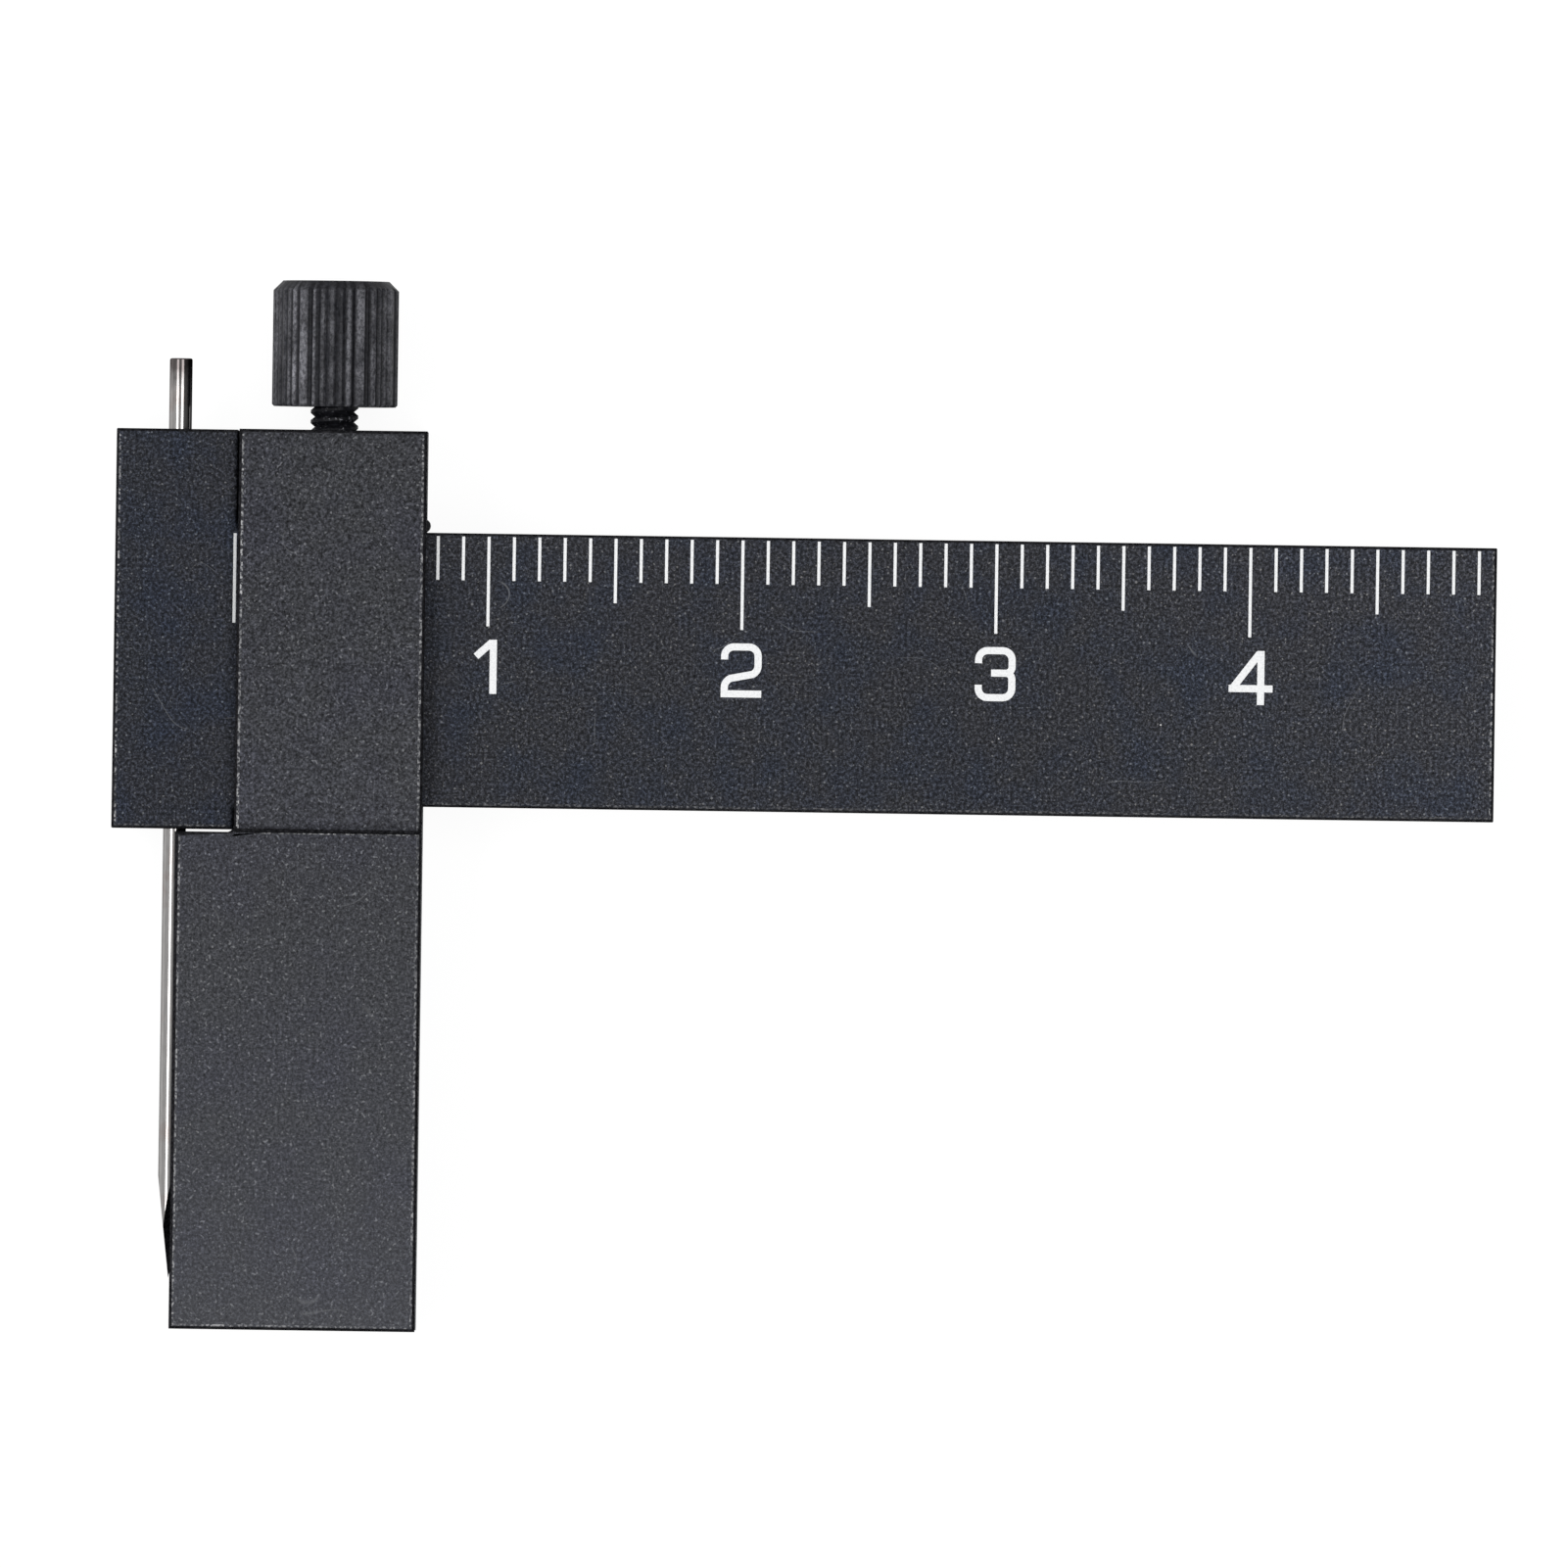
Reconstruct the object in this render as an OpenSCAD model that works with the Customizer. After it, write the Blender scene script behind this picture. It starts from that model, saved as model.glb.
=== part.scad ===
// Parallel scribing ruler: a T-shaped ruler plate that holds a scriber needle in its head, and a
// slider with a deep fence that runs along the beam and is clamped by a knurled thumb screw.
// The part lies flat on its back. +X runs along the beam to its free end, +Y points from the
// fence to the thumb screw and +Z out of the graduated face. All sizes are in millimetres.

/* [Ruler plate] */
// Thickness of the plate, head and beam alike
plate_t = 4; // [3.4:0.1:6]
// Height of the beam from edge to edge
beam_h = 10.8; // [9:0.1:16]
// Length of the beam from the zero mark to its free end
beam_len = 49.7; // [30:0.1:59]
// Width of the head from its end face to the zero mark
head_w = 4.72; // [4.4:0.02:8]
// Rise of the head above the top edge of the beam
head_rise = 3.95; // [3:0.05:8]
// Drop of the head below the bottom edge of the beam
head_drop = 1; // [0.8:0.05:3]
// Radius in the two corners between head and beam
corner_r = 0.4; // [0.2:0.05:0.5]
// Chamfer on the outer edges of the plate
plate_ease = 0.12; // [0.05:0.01:0.2]

/* [Scale] */
// Spacing of the marks
division = 1; // [1:0.5:2]
// Bare length left at the free end of the beam
scale_margin = 0.5; // [0.3:0.1:3]
// Width of one mark
mark_w = 0.14; // [0.08:0.01:0.25]
// Distance from the eased top edge of the beam to the start of every mark
mark_gap = 0.01; // [0:0.01:0.2]
// Length of a single division mark
mark_short = 1.72; // [1:0.02:2]
// Length of every fifth mark
mark_mid = 2.54; // [2.1:0.02:3]
// Length of every tenth mark
mark_long = 3.52; // [3.1:0.02:3.7]
// Depth of the filled engraving
ink_depth = 0.05; // [0.03:0.01:0.1]
// Distance from the top edge of the beam to the top of the numerals
numeral_top = 4.18; // [4.1:0.02:5]
// Height of the numerals
numeral_h = 2.13; // [1.4:0.01:2.6]
// Width of the strokes of the numerals
numeral_stroke = 0.28; // [0.2:0.01:0.32]

/* [Scriber needle] */
// Diameter of the needle
needle_d = 0.9; // [0.7:0.05:1.1]
// Distance from the zero mark to the axis of the needle
needle_inset = 2.25; // [2.1:0.01:2.4]
// Length of the needle
needle_len = 36.26; // [34:0.02:42]
// Length of the needle that stands above the head
needle_proud = 2.8; // [2.4:0.05:4]
// Radial clearance of the needle in its bore
needle_clear = 0.03; // [0.01:0.01:0.08]
// Length of the three ground facets
tip_len = 4.05; // [2:0.05:5]
// Chamfer on the tail of the needle
tail_ease = 0.08; // [0.02:0.01:0.15]

/* [Needle set screw] */
// Outside diameter of the set screw
set_screw_d = 1.94; // [1.9:0.01:1.96]
// Radial clearance of the set screw in its tapped hole
set_screw_clear = 0.03; // [0.01:0.01:0.08]
// Gap between the end of the set screw and the needle
set_screw_gap = 0.01; // [0.005:0.005:0.05]
// Length of the set screw
set_screw_len = 1.95; // [1.5:0.01:1.95]
// Distance from the top of the head to the axis of the set screw
set_screw_drop = 7.85; // [4:0.05:12]
// Width across the flats of the hexagon socket
socket_af = 0.9; // [0.7:0.05:1]
// Depth of the hexagon socket
socket_depth = 0.9; // [0.5:0.05:1]
// Chamfer on both ends of the set screw
set_screw_ease = 0.15; // [0.05:0.01:0.25]

/* [Slider] */
// Width of the sleeve along the beam
sleeve_w = 7.4; // [6:0.05:12]
// Thickness of the walls in front of and behind the beam
sleeve_wall = 0.96; // [0.7:0.02:2]
// Rise of the sleeve above the top edge of the beam
sleeve_rise = 3.98; // [3:0.02:6]
// Running clearance between the beam and the sleeve
slide_clear = 0.04; // [0.02:0.01:0.08]
// Gap between head and sleeve with the slider at zero
head_gap = 0.12; // [0.08:0.01:0.3]
// Gap between the lower end of the head and the top of the fence
ledge_gap = 0.1; // [0.06:0.01:0.3]
// Length of the fence below the sleeve
fence_len = 19.58; // [10:0.02:40]
// Depth of the step from the face of the sleeve to the face of the fence
fence_step = 0.4; // [0.3:0.02:0.8]
// Distance from the axis of the needle to the guide face of the fence, at zero
guide_offset = 0.08; // [0:0.01:0.2]
// Radial clearance of the needle in the groove of the fence
groove_clear = 0.12; // [0.08:0.01:0.3]
// Radius in the corner between the sleeve and the top of the fence
ledge_r = 0.3; // [0.15:0.05:0.35]
// Chamfer on the outer edges of the slider
slider_ease = 0.2; // [0.05:0.01:0.25]
// Chamfer on the mouths of the window
window_ease = 0.25; // [0.2:0.01:0.3]

/* [Clamp] */
// Thickness of the gib between the beam and the clamp screw
gib_t = 0.55; // [0.4:0.01:0.8]
// Width of the gib across the beam
gib_w = 3.4; // [2:0.1:3.4]
// Length of the gib that stands out of the sleeve
gib_proud = 0.15; // [0:0.01:0.3]
// Distance from the hidden end of the gib to the face of the sleeve
gib_inset = 0.4; // [0.3:0.05:1]
// Diameter of the boss that keeps the gib in the screw hole
boss_d = 1.5; // [1:0.05:1.6]
// Height of the boss above the gib
boss_h = 1.35; // [1:0.05:1.6]
// Gap between the gib and the beam, and between the boss and the screw
gib_gap = 0.01; // [0.005:0.005:0.03]
// Lift of the gib with the screw run out
gib_lift = 0.6; // [0.2:0.05:0.8]
// Room above the lifted gib
gib_room = 0.05; // [0.03:0.01:0.2]
// Outside diameter of the screw thread
thread_d = 1.94; // [1.9:0.01:1.96]
// Radial clearance of the thread in its hole
thread_clear = 0.03; // [0.01:0.01:0.08]
// Pitch of the thread
thread_pitch = 0.4; // [0.35:0.05:0.5]
// Depth of the thread
thread_depth = 0.22; // [0.15:0.01:0.26]
// Length of the shank from its end to the knob
shank_len = 3; // [2.6:0.02:5]
// Length of the bare neck under the knob
neck_len = 0.05; // [0.05:0.05:1]
// Diameter of the knob
knob_d = 4.95; // [4:0.05:6]
// Height of the knob
knob_h = 4.95; // [3:0.05:8]
// Chamfer on the top of the knob
knob_ease = 0.38; // [0.1:0.01:0.6]
// Edge break on the underside of the knob
knob_break = 0.08; // [0.02:0.01:0.2]
// Number of grooves around the knob
knurl_count = 44; // [16:1:44]
// Radius of the cutter that makes one groove
knurl_r = 0.1; // [0.06:0.01:0.12]

/* [Hidden] */
$fn = 64;
sliver = 0.01;
// How far a cutter reaches past what it cuts
cut_past = 1;

// Heights: the sleeve lies on its back, and the beam runs in the middle of it
sleeve_t = plate_t + 2 * (slide_clear + sleeve_wall);
plate_back = sleeve_wall + slide_clear;
plate_front = plate_back + plate_t;
mid_z = sleeve_t / 2;
fence_t = sleeve_t - fence_step;

// Places along the beam, counted from the zero mark
needle_r = needle_d / 2;
needle_x = -needle_inset;
guide_x = needle_x + guide_offset;
sleeve_x = head_gap;
sleeve_end = sleeve_x + sleeve_w;
screw_x = sleeve_x + sleeve_w / 2;

// Places up and down, counted from the top edge of the beam
head_bottom = -beam_h - head_drop;
window_bottom = -beam_h - slide_clear;
shoulder_y = head_bottom - ledge_gap;
fence_end = shoulder_y - fence_len;
needle_top = head_rise + needle_proud;
set_screw_y = head_rise - set_screw_drop;
boss_top = gib_gap + gib_t + boss_h;
window_top = gib_gap + gib_t + gib_lift + gib_room;
screw_tip = boss_top + gib_gap;
knob_y = screw_tip + shank_len;
knob_top = knob_y + knob_h;

// Pattern of the scale
mark_start = plate_ease + mark_gap;
mark_count = floor((beam_len - scale_margin) / division + sliver);
numeral_y = -numeral_top - numeral_h;

// The origin is at the middle of the footprint, at the level that the slider lies on
origin_x = (beam_len - head_w) / 2;
origin_y = (max(knob_top, needle_top) + fence_end) / 2;

black_blue = [0.16, 0.18, 0.21];
black_grey = [0.23, 0.235, 0.25];
steel = [0.72, 0.71, 0.69];
oxide = [0.14, 0.14, 0.15];
ink = [0.93, 0.93, 0.92];

module at_origin() {
    translate([-origin_x, -origin_y, 0])
        children();
}

// Rectangle w by h whose corners are cut off by e. corners: lower left, lower right, upper right,
// upper left; 1 cuts a corner and 0 leaves it square
module eased_rect(w, h, e, corners = [1, 1, 1, 1]) {
    c = corners * e;
    polygon([[c[0], 0], [w - c[1], 0], [w, c[1]], [w, h - c[2]],
             [w - c[2], h], [c[3], h], [0, h - c[3]], [0, c[0]]]);
}

// Block with eased edges. xy, yz and xz say which corners of its outline are cut in each view
module eased_block(size, e, xy = [1, 1, 1, 1], yz = [1, 1, 1, 1], xz = [1, 1, 1, 1]) {
    intersection() {
        linear_extrude(size[2])
            eased_rect(size[0], size[1], e, xy);
        rotate([90, 0, 90])
            linear_extrude(size[0])
                eased_rect(size[1], size[2], e, yz);
        translate([0, size[1], 0])
            rotate([90, 0, 0])
                linear_extrude(size[1])
                    eased_rect(size[0], size[2], e, xz);
    }
}

// What is left of a square corner of side r beside a quarter circle; the corner is at the origin
module corner_fill(r, t) {
    linear_extrude(t)
        difference() {
            translate([-sliver, -sliver])
                square(r + sliver);
            translate([r, r])
                circle(r);
        }
}

// Cylinder of length l along +Y from the origin
module rod_y(r, l) {
    rotate([-90, 0, 0])
        cylinder(r = r, h = l);
}

// Strip of the given width along a path of points
function unit(v) = v / norm(v);
function side(a, b) = let(d = unit(b - a)) [-d[1], d[0]];
function miter(n, m) = let(s = unit(n + m)) s / (s * n);
function edge_at(p, i, w) =
    i == 0 ? p[0] + side(p[0], p[1]) * w
    : i == len(p) - 1 ? p[i] + side(p[i - 1], p[i]) * w
    : p[i] + miter(side(p[i - 1], p[i]), side(p[i], p[i + 1])) * w;
module strip(p, w) {
    last = len(p) - 1;
    polygon(concat([for (i = [0:last]) edge_at(p, i, w / 2)],
                   [for (i = [last:-1:0]) edge_at(p, i, -w / 2)]));
}

// Points along an arc from angle a to angle b
arc_steps = 6;
function arc(c, r, a, b) =
    [for (i = [0:arc_steps]) c + r * [cos(a + (b - a) * i / arc_steps), sin(a + (b - a) * i / arc_steps)]];

// Centre lines of the numerals, 1.6 wide or less and numeral_h high, from their lower left corner
numeral_w = 1.6;
half = numeral_stroke / 2;
left = half;
right = numeral_w - half;
top = numeral_h - half;
waist = numeral_h * 0.52;
bend = 0.36;
hook = 0.5;
joint_in = 0.06;
joint_down = 0.1;

module numeral_one() {
    stem = 1.03;
    flag_x = 0.35;
    flag_drop = 0.66;
    strip([[stem, 0], [stem, numeral_h]], numeral_stroke);
    strip([[flag_x, numeral_h - flag_drop], [stem - joint_in, numeral_h - joint_down]], numeral_stroke);
}

module numeral_two() {
    foot_r = 0.4;
    strip(concat([[left, top - hook]],
                 arc([left + bend, top - bend], bend, 180, 90),
                 arc([right - bend, top - bend], bend, 90, 0),
                 arc([right - bend, waist + half], bend, 0, -68),
                 arc([left + foot_r, half + foot_r * 0.6], foot_r, 112, 180),
                 [[left, 0]]), numeral_stroke);
    square([numeral_w, numeral_stroke]);
}

module numeral_three() {
    notch_r = 0.24;
    bar_x = 0.64;
    for (low = [false, true]) {
        outer = low ? half : top;
        turn = low ? -1 : 1;
        reach = low ? waist - half : top - waist;
        strip(concat([[left, outer - turn * hook]],
                     arc([left + bend, outer - turn * bend], bend, 180, 180 - turn * 90),
                     arc([right - bend, outer - turn * bend], bend, turn * 90, 0),
                     arc([right - notch_r, outer - turn * (reach - notch_r)], notch_r, 0, -turn * 90),
                     [[bar_x, waist]]), numeral_stroke);
    }
}

module numeral_four() {
    stem = 1.26;
    bar = numeral_h * 0.3;
    bar_w = 1.73;
    strip([[stem, 0], [stem, numeral_h]], numeral_stroke);
    translate([0, bar - half])
        square([bar_w, numeral_stroke]);
    strip([[half, bar], [stem - joint_in, numeral_h - joint_down]], numeral_stroke);
}

module numeral_five() {
    strip(concat([[right, top], [left, top], [left, waist + half]],
                 arc([right - bend, waist + half - bend], bend, 90, 0),
                 arc([right - bend, half + bend], bend, 0, -90),
                 arc([left + bend, half + bend], bend, 270, 190)), numeral_stroke);
}

module digit(n) {
    if (n == 1) numeral_one();
    if (n == 2) numeral_two();
    if (n == 3) numeral_three();
    if (n == 4) numeral_four();
    if (n == 5) numeral_five();
}

// Fills of every mark whose number passes the test: 0 takes the tenths, 1 the other fives and 2
// the rest
function mark_kind(i) = i % 10 == 0 ? 0 : i % 5 == 0 ? 1 : 2;
module mark_fills(kind, length) {
    for (i = [0:mark_count])
        if (mark_kind(i) == kind)
            translate([i * division - mark_w / 2, -mark_start - length, plate_front - ink_depth])
                cube([mark_w, length, ink_depth]);
}

module numeral_fills() {
    for (i = [10:10:mark_count])
        translate([i * division - numeral_w / 2, numeral_y, plate_front - ink_depth])
            linear_extrude(ink_depth)
                digit(i / 10);
}

module ruler_plate() {
    head_h = head_rise - head_bottom;
    color(black_blue)
        at_origin()
            difference() {
                union() {
                    translate([-head_w, head_bottom, plate_back])
                        eased_block([head_w, head_h, plate_t], plate_ease);
                    translate([-needle_inset, -beam_h, plate_back])
                        eased_block([beam_len + needle_inset, beam_h, plate_t], plate_ease);
                    translate([0, 0, plate_back + plate_ease])
                        corner_fill(corner_r, plate_t - 2 * plate_ease);
                    translate([0, -beam_h, plate_back + plate_ease])
                        mirror([0, 1, 0])
                            corner_fill(corner_r, plate_t - 2 * plate_ease);
                }
                translate([needle_x, head_bottom - cut_past, mid_z])
                    rod_y(needle_r + needle_clear, head_h + 2 * cut_past);
                translate([-head_w - cut_past, set_screw_y, mid_z])
                    rotate([0, 90, 0])
                        cylinder(r = set_screw_d / 2 + set_screw_clear, h = head_w - needle_inset + cut_past);
                mark_fills(0, mark_long);
                mark_fills(1, mark_mid);
                mark_fills(2, mark_short);
                numeral_fills();
            }
}

module marks_millimetre() {
    color(ink)
        at_origin()
            mark_fills(2, mark_short);
}

module marks_five() {
    color(ink)
        at_origin()
            mark_fills(1, mark_mid);
}

module marks_centimetre() {
    color(ink)
        at_origin()
            mark_fills(0, mark_long);
}

module scale_numerals() {
    color(ink)
        at_origin()
            numeral_fills();
}

// Set screw in the end face of the head; its flat end bears on the needle
module needle_set_screw() {
    r = set_screw_d / 2;
    inner_x = needle_x - needle_r - set_screw_gap;
    color(oxide)
        at_origin()
            translate([inner_x - set_screw_len, set_screw_y, mid_z])
                rotate([0, 90, 0])
                    difference() {
                        rotate_extrude()
                            eased_half(r, set_screw_len, set_screw_ease, set_screw_ease);
                        translate([0, 0, -sliver])
                            cylinder(r = socket_af / sqrt(3), h = socket_depth + sliver, $fn = 6);
                    }
}

// Half of a round bar's section with chamfers at its lower and upper ends
module eased_half(r, l, low, high) {
    polygon([[0, 0], [r - low, 0], [r, low], [r, l - high], [r - high, l], [0, l]]);
}

// Needle with a three-sided ground tip
module scriber_needle() {
    facet_angle = atan(needle_r / tip_len);
    color(steel)
        at_origin()
            translate([needle_x, needle_top - needle_len, mid_z])
                rotate([-90, 0, 0])
                    difference() {
                        rotate_extrude()
                            eased_half(needle_r, needle_len, 0, tail_ease);
                        for (turn = [0, 120, 240])
                            rotate([0, 0, turn])
                                rotate([0, -facet_angle, 0])
                                    translate([-needle_d * 2, -needle_d, -needle_d])
                                        cube([needle_d * 2, needle_d * 2, tip_len + 2 * needle_d]);
                    }
}

module slider_body() {
    sleeve_h = sleeve_rise - shoulder_y;
    color(black_grey)
        at_origin()
            difference() {
                union() {
                    translate([sleeve_x, shoulder_y, 0])
                        eased_block([sleeve_w, sleeve_h, sleeve_t], slider_ease,
                                    xy = [0, 0, 1, 1], yz = [0, 1, 1, 1]);
                    translate([guide_x, fence_end, 0])
                        eased_block([sleeve_end - guide_x, fence_len, fence_t], slider_ease,
                                    xy = [1, 1, 0, 0], yz = [1, 0, 0, 1]);
                    translate([sleeve_x, shoulder_y, slider_ease])
                        mirror([1, 0, 0])
                            corner_fill(ledge_r, fence_t - 2 * slider_ease);
                }
                translate([sleeve_x - cut_past, window_bottom, plate_back - slide_clear])
                    cube([sleeve_w + 2 * cut_past, window_top - window_bottom, plate_t + 2 * slide_clear]);
                for (x = [sleeve_x, sleeve_end])
                    translate([x, window_bottom, plate_back - slide_clear])
                        window_mouth();
                translate([screw_x, window_top - sliver, mid_z])
                    rod_y(thread_d / 2 + thread_clear, sleeve_rise);
                translate([needle_x, fence_end - cut_past, mid_z])
                    rod_y(needle_r + groove_clear, fence_len + cut_past + sliver);
            }
}

// Cut that eases the lower lip of the window, where the corner of the plate comes close
module window_mouth() {
    linear_extrude(plate_t + 2 * slide_clear)
        polygon([[-window_ease, 0], [0, -window_ease], [window_ease, 0]]);
}

// Gib: a strip with rounded ends that lies on the beam, with a boss up in the screw hole
module clamp_gib() {
    start = sleeve_x + gib_inset;
    end = sleeve_end + gib_proud;
    nose = gib_t / 2;
    color(oxide)
        at_origin()
            translate([0, gib_gap, mid_z]) {
                translate([0, 0, -gib_w / 2])
                    linear_extrude(gib_w) {
                        translate([start + nose, 0])
                            square([end - start - gib_t, gib_t]);
                        for (x = [start + nose, end - nose])
                            translate([x, nose])
                                circle(nose);
                    }
                translate([screw_x, gib_t - sliver, 0])
                    rod_y(boss_d / 2, boss_h + sliver);
            }
}

// Section of the threaded shank, with grooves at the pitch of the thread counted from the neck
module shank_half() {
    r = thread_d / 2;
    root = r - thread_depth;
    flank = thread_pitch * 0.44;
    turns = floor((shank_len - neck_len) / thread_pitch);
    start = shank_len - neck_len - turns * thread_pitch;
    polygon(concat(
        [[0, 0], [root, 0]],
        [for (i = [0:turns - 1]) let(z = start + i * thread_pitch)
            each [[root, z + sliver], [r, z + flank], [r, z + thread_pitch - flank],
                  [root, z + thread_pitch - sliver]]],
        [[root, shank_len + sliver], [0, shank_len + sliver]]));
}

module clamp_screw() {
    r = knob_d / 2;
    color(oxide)
        at_origin()
            translate([screw_x, screw_tip, mid_z])
                rotate([-90, 0, 0]) {
                    rotate_extrude()
                        shank_half();
                    translate([0, 0, shank_len])
                        difference() {
                            rotate_extrude()
                                eased_half(r, knob_h, knob_break, knob_ease);
                            for (i = [0:knurl_count - 1])
                                rotate([0, 0, i * 360 / knurl_count])
                                    translate([r, 0, -cut_past])
                                        cylinder(r = knurl_r, h = knob_h + 2 * cut_past);
                        }
                }
}

ruler_plate();
marks_millimetre();
marks_five();
marks_centimetre();
scale_numerals();
needle_set_screw();
scriber_needle();
slider_body();
clamp_gib();
clamp_screw();
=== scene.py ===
import math
import random

import bmesh
import bpy
from mathutils import Matrix, Vector


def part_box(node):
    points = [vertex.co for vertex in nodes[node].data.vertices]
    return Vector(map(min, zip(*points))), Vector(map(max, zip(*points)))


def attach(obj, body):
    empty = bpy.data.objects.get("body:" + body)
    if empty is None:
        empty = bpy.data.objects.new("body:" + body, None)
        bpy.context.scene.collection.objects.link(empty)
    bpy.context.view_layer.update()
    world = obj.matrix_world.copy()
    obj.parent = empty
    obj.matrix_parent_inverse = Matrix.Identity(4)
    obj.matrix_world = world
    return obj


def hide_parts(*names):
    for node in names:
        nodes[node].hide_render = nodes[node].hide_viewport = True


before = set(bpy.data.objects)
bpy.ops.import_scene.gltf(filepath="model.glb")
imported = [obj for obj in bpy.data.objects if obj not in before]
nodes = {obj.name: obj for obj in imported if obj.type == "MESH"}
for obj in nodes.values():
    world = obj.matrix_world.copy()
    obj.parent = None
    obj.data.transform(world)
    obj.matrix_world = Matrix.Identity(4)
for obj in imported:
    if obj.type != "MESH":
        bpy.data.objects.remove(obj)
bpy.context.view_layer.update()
mm = 0.001
near, same, cutSlack = 1e-6, 1e-7, 1e-8      # metres, for telling points apart
flatUnder, sharpOver = 1, 35      # degrees
print("frame loaded")

cameraSetup = {
    "aim": (-0.74, 1.115),      # middle of the picture, mm from the origin
    "turn": 0.835,              # degrees
    "width": 61.74,             # mm of the beam's face across the picture
    "distance": 1600.0,         # mm above the beam's face
    "face": 5.0,                # height of the beam's face, mm
    "sensor": 36.0,
    "clip": (0.01, 20.0),       # metres
}
cameraData = bpy.data.cameras.new("camera")
cameraData.sensor_width = cameraSetup["sensor"]
cameraData.lens = cameraSetup["sensor"] * cameraSetup["distance"] / cameraSetup["width"]
cameraData.clip_start, cameraData.clip_end = cameraSetup["clip"]
camera = bpy.data.objects.new("camera", cameraData)
camera.location = (cameraSetup["aim"][0] * mm, cameraSetup["aim"][1] * mm,
                   (cameraSetup["face"] + cameraSetup["distance"]) * mm)
camera.rotation_euler = (0, 0, math.radians(cameraSetup["turn"]))
bpy.context.scene.collection.objects.link(camera)
bpy.context.scene.camera = camera

# Sizes below are in mm from the zero mark on the beam's top edge, with z from the table
plateLow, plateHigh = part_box("ruler_plate")
headWidth, headRise = 4.72, 3.95
zeroX, topEdgeY = plateLow.x + headWidth * mm, plateHigh.y - headRise * mm


def at(x, y, z):
    return Vector((zeroX + x * mm, topEdgeY + y * mm, z * mm))


def newPiece(name, bm, materials, body, stoodFor, smoothUnder=sharpOver):
    mesh = bpy.data.meshes.new(name)
    bm.to_mesh(mesh)
    bm.free()
    piece = bpy.data.objects.new(name, mesh)
    bpy.context.scene.collection.objects.link(piece)
    for material in materials:
        mesh.materials.append(material)
    mesh.shade_smooth()
    mesh.set_sharp_from_angle(angle=math.radians(smoothUnder))
    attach(piece, body)
    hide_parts(*stoodFor)
    return piece


def evenShading(piece):
    step = piece.modifiers.new("evenShading", "WEIGHTED_NORMAL")
    step.keep_sharp = True
    step.weight = 100


def roundEdges(bm, edges, radius, steps, clamp=True):
    made = bmesh.ops.bevel(bm, geom=edges, offset=radius * mm, offset_type="OFFSET", affect="EDGES",
                           segments=steps, profile=0.5, material=-1, clamp_overlap=clamp)
    return made["faces"]


def isUpright(e):
    a, b = (v.co for v in e.verts)
    return abs(a.x - b.x) < same and abs(a.y - b.y) < same


def isOuter(e):
    return e.calc_face_angle_signed(0) > 0


def sharpEdges(bm, test, angle=60):
    return [e for e in bm.edges
            if len(e.link_faces) == 2 and abs(e.calc_face_angle_signed(0)) > math.radians(angle) and test(e)]


def roundRims(bm, radius, steps):
    return roundEdges(bm, sharpEdges(bm, lambda e: isOuter(e) and not isUpright(e)), radius, steps, False)


def vertsOf(faces):
    return list(dict.fromkeys(v for f in faces for v in f.verts))


def geomOf(faces):
    edges = dict.fromkeys(e for f in faces for e in f.edges)
    return [*vertsOf(faces), *edges, *faces]


def vertsIn(geom):
    return [g for g in geom if isinstance(g, bmesh.types.BMVert)]


def edgesIn(geom):
    return [g for g in geom if isinstance(g, bmesh.types.BMEdge)]


def raised(bm, faces, height):
    made = bmesh.ops.extrude_face_region(bm, geom=faces)
    bmesh.ops.translate(bm, vec=(0, 0, height * mm), verts=vertsIn(made["geom"]))


# The upper part of a rounded edge gets a copy of the finish with rubbed bare metal and a painted highlight,
# and its lower part gets painted shade
edgeWearAndPaintedLight = {
    "rubbedAndLitAbove": 0.85, "uprightUnder": 0.1,
    "facing": 0.1,      # how far a normal leans to one side to count as facing it
    "cornerRadius": 0.05, "cornerSteps": 3,
    "plain": 0, "rubbedAndLit": 1, "dark": 2, "faintWearAndLight": 3,
}


def paintEdgeWearAndLight(bm, faces, slotOf, sheltered=lambda n, c: False):
    bm.normal_update()
    for face in faces:
        n, rise, middle = face.normal, abs(face.normal.z), face.calc_center_median()
        if sheltered(n, middle):
            face.material_index = edgeWearAndPaintedLight["plain"]
        elif rise > edgeWearAndPaintedLight["rubbedAndLitAbove"] or rise < edgeWearAndPaintedLight["uprightUnder"]:
            face.material_index = slotOf(n, middle)
        else:
            face.material_index = edgeWearAndPaintedLight["dark"]


# upright corners get the rubbed copy, with its painted highlight
def easeCorners(bm, radius=edgeWearAndPaintedLight["cornerRadius"], test=lambda e: True):
    corners = sharpEdges(bm, lambda e: isOuter(e) and isUpright(e) and test(e))
    for face in roundEdges(bm, corners, radius, edgeWearAndPaintedLight["cornerSteps"]):
        face.material_index = edgeWearAndPaintedLight["rubbedAndLit"]


def cutWith(piece, cutters):
    for cutter in cutters:
        step = piece.modifiers.new("cut", "BOOLEAN")
        step.operation, step.solver, step.object = "DIFFERENCE", "EXACT", cutter
    bpy.context.view_layer.update()
    shaped = bpy.data.meshes.new_from_object(piece.evaluated_get(bpy.context.evaluated_depsgraph_get()))
    piece.modifiers.clear()
    old = piece.data
    piece.data = shaped
    shaped.name = old.name
    bpy.data.meshes.remove(old)
    for cutter in cutters:
        bpy.data.objects.remove(cutter)
    shaped.shade_smooth()
    shaped.set_sharp_from_angle(angle=math.radians(sharpOver))


cutPast = 1.0      # mm that a cutter runs past a face


def newCutter(bm):
    mesh = bpy.data.meshes.new("cutter")
    bm.to_mesh(mesh)
    bm.free()
    cutter = bpy.data.objects.new("cutter", mesh)
    bpy.context.scene.collection.objects.link(cutter)
    return cutter


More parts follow.
